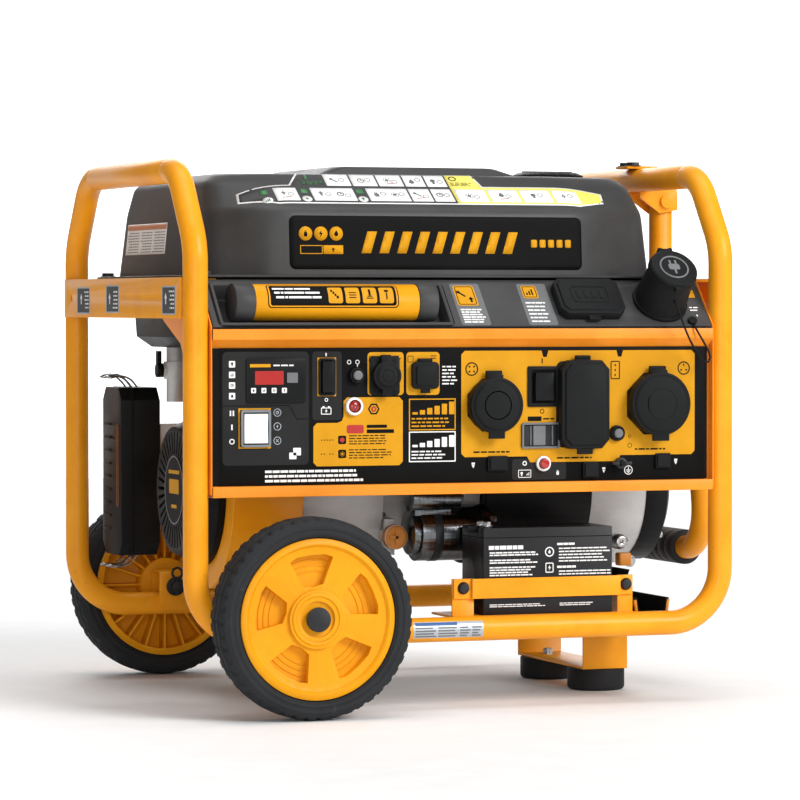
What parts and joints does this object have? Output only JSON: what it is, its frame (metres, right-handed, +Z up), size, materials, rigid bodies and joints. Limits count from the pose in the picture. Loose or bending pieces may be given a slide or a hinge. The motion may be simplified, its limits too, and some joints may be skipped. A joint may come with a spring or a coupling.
{
  "type": "portable generator",
  "caption": "Engine generator in a bent tube frame with two wheels, rubber feet, fold-down pull handle, fuel tank, front control panel and battery.",
  "frame": {"origin": "on the ground, at the middle of the overall box", "axes": "+X along the frame from the recoil end to the handle end, +Y from the control panel to the back, +Z up"},
  "size_m": [0.68, 0.608, 0.6008],
  "materials": {
    "frame_paint": "amber gloss powder coat",
    "panel_paint": "orange satin powder coat",
    "black_paint": "black satin paint",
    "rubber": "matt rubber",
    "tyre": "matt tyre rubber",
    "rim_plastic": "moulded yellow plastic",
    "dark_steel": "blackened steel",
    "battery_plastic": "moulded black plastic",
    "tank_paint": "dark grey satin paint",
    "console_plastic": "grey moulded plastic",
    "label": "printed label film",
    "black_plastic": "moulded black plastic",
    "white_plastic": "moulded white plastic",
    "red_plastic": "moulded red plastic",
    "bright_steel": "plated steel",
    "cast_alloy": "cast aluminium alloy"
  },
  "bodies": {
    "chassis": {"frame_front": "frame_paint", "frame_rear": "frame_paint", "top_tubes": "frame_paint", "end_plates": "frame_paint", "cross_members": "black_paint", "frame_brackets": "frame_paint", "rubber_feet": "rubber", "axle_bolts": "dark_steel", "vibration_mounts": "rubber", "battery": "battery_plastic", "battery_tray": "frame_paint", "battery_strap": "frame_paint", "hex_bolts": "dark_steel", "tank_upper": "tank_paint", "tank_lower": "tank_paint", "fuel_valve": "cast_alloy", "console": "console_plastic", "panel_frame": "panel_paint", "panel_plate": "label", "panel_fittings": "black_plastic", "inlet_cup": "black_plastic", "cap_tether": "rubber", "crankcase": "cast_alloy", "cylinder_head": "cast_alloy", "carburetor": "cast_alloy", "fan_shroud": "panel_paint", "recoil_cover": "black_plastic", "air_cleaner": "black_plastic", "muffler": "bright_steel", "starter_motor": "bright_steel", "alternator_shell": "cast_alloy", "alternator_covers": "black_paint", "handle_bracket": "frame_paint"},
    "fuel_lever_body": {"fuel_lever": "black_plastic"},
    "fuel_cap_body": {"fuel_cap": "black_plastic"},
    "inlet_lid_body": {"inlet_lid": "black_plastic"},
    "switch_cover_body": {"switch_cover": "black_plastic"},
    "canister": {"canister_tube": "rim_plastic", "canister_cap_left": "black_plastic"},
    "canister_cap": {"canister_cap_right": "black_plastic"},
    "start_switch": {"start_rocker": "white_plastic"},
    "battery_switch": {"battery_rocker": "black_plastic"},
    "breaker_switch": {"breaker_rocker": "black_plastic"},
    "dc_lid": {"dc_cover": "black_plastic"},
    "usb_lid": {"usb_cover": "black_plastic"},
    "twistlock_lid": {"twistlock_cover": "black_plastic"},
    "duplex_lid": {"duplex_cover": "black_plastic"},
    "travel_lid": {"travel_cover": "black_plastic"},
    "dc_button": {"push_buttons_dc": "bright_steel"},
    "ac_button": {"push_button_ac": "bright_steel"},
    "remote_button": {"push_button_remote": "red_plastic"},
    "ground_nut_body": {"ground_nut": "bright_steel"},
    "recoil_grip": {"recoil_handle": "black_plastic"},
    "crank": {"crankshaft": "bright_steel"},
    "front_wheel": {"tyre_front": "tyre", "rim_front": "rim_plastic"},
    "rear_wheel": {"tyre_rear": "tyre", "rim_rear": "rim_plastic"},
    "handle": {"handle_bar": "frame_paint", "handle_grip": "rubber"}
  },
  "joints": [
    {"name": "front_wheel_spin", "type": "hinge", "parent": "chassis", "child": "front_wheel", "pos_m": [-0.21, -0.279, 0.107], "axis": [0, 1, 0], "continuous": true},
    {"name": "rear_wheel_spin", "type": "hinge", "parent": "chassis", "child": "rear_wheel", "pos_m": [-0.21, 0.279, 0.107], "axis": [0, 1, 0], "continuous": true},
    {"name": "handle_fold", "type": "hinge", "parent": "chassis", "child": "handle", "pos_m": [0.312, 0, 0.556], "axis": [0, -1, 0], "range_deg": [0, 92]},
    {"name": "crank_turn", "type": "hinge", "parent": "chassis", "child": "crank", "pos_m": [0, -0.03, 0.232], "axis": [1, 0, 0], "continuous": true},
    {"name": "recoil_pull", "type": "slide", "parent": "chassis", "child": "recoil_grip", "axis": [0, -1, 0], "range_m": [0, 0.08], "stiffness_N_per_m": 20},
    {"name": "fuel_cap_turn", "type": "hinge", "parent": "chassis", "child": "fuel_cap_body", "pos_m": [0.186, 0.04, 0.5824], "axis": [0, 0, 1], "range_deg": [0, 90]},
    {"name": "fuel_lever_turn", "type": "hinge", "parent": "chassis", "child": "fuel_lever_body", "pos_m": [-0.266, 0.105, 0.362], "axis": [1, 0, 0], "range_deg": [-90, 0]},
    {"name": "inlet_lid_hinge", "type": "hinge", "parent": "chassis", "child": "inlet_lid_body", "pos_m": [0.213, -0.23721, 0.49588], "axis": [-1, 0, 0], "range_deg": [0, 100]},
    {"name": "switch_cover_hinge", "type": "hinge", "parent": "chassis", "child": "switch_cover_body", "pos_m": [0.126, -0.20636, 0.46055], "axis": [-1, 0, 0], "range_deg": [0, 70]},
    {"name": "canister_lift", "type": "slide", "parent": "chassis", "child": "canister", "axis": [0, -0.7254, 0.6884], "range_m": [0, 0.06]},
    {"name": "canister_cap_turn", "type": "hinge", "parent": "canister", "child": "canister_cap", "pos_m": [-0.064, -0.22284, 0.43896], "axis": [1, 0, 0], "continuous": true},
    {"name": "start_switch_rock", "type": "hinge", "parent": "chassis", "child": "start_switch", "pos_m": [-0.26, -0.24, 0.306], "axis": [1, 0, 0], "range_deg": [-8, 8]},
    {"name": "battery_switch_rock", "type": "hinge", "parent": "chassis", "child": "battery_switch", "pos_m": [-0.18, -0.2435, 0.36], "axis": [1, 0, 0], "range_deg": [-6, 6]},
    {"name": "breaker_switch_rock", "type": "hinge", "parent": "chassis", "child": "breaker_switch", "pos_m": [0.0675, -0.2435, 0.348], "axis": [1, 0, 0], "range_deg": [-6, 6]},
    {"name": "dc_lid_hinge", "type": "hinge", "parent": "chassis", "child": "dc_lid", "pos_m": [-0.115, -0.2447, 0.381], "axis": [-1, 0, 0], "range_deg": [0, 110]},
    {"name": "usb_lid_hinge", "type": "hinge", "parent": "chassis", "child": "usb_lid", "pos_m": [-0.07, -0.2437, 0.377], "axis": [-1, 0, 0], "range_deg": [0, 110]},
    {"name": "twistlock_lid_hinge", "type": "hinge", "parent": "chassis", "child": "twistlock_lid", "pos_m": [0.0085, -0.2457, 0.3635], "axis": [-1, 0, 0], "range_deg": [0, 110]},
    {"name": "duplex_lid_hinge", "type": "hinge", "parent": "chassis", "child": "duplex_lid", "pos_m": [0.112, -0.2457, 0.3795], "axis": [-1, 0, 0], "range_deg": [0, 110]},
    {"name": "travel_lid_hinge", "type": "hinge", "parent": "chassis", "child": "travel_lid", "pos_m": [0.2005, -0.2457, 0.3675], "axis": [-1, 0, 0], "range_deg": [0, 110]},
    {"name": "dc_button_press", "type": "slide", "parent": "chassis", "child": "dc_button", "axis": [0, 1, 0], "range_m": [0, 0.0015], "stiffness_N_per_m": 300},
    {"name": "ac_button_press", "type": "slide", "parent": "chassis", "child": "ac_button", "axis": [0, 1, 0], "range_m": [0, 0.0015], "stiffness_N_per_m": 300},
    {"name": "remote_button_press", "type": "slide", "parent": "chassis", "child": "remote_button", "axis": [0, 1, 0], "range_m": [0, 0.0015], "stiffness_N_per_m": 300},
    {"name": "ground_nut_turn", "type": "hinge", "parent": "chassis", "child": "ground_nut_body", "pos_m": [0.156, -0.24, 0.264], "axis": [0, -1, 0], "continuous": true}
  ]
}
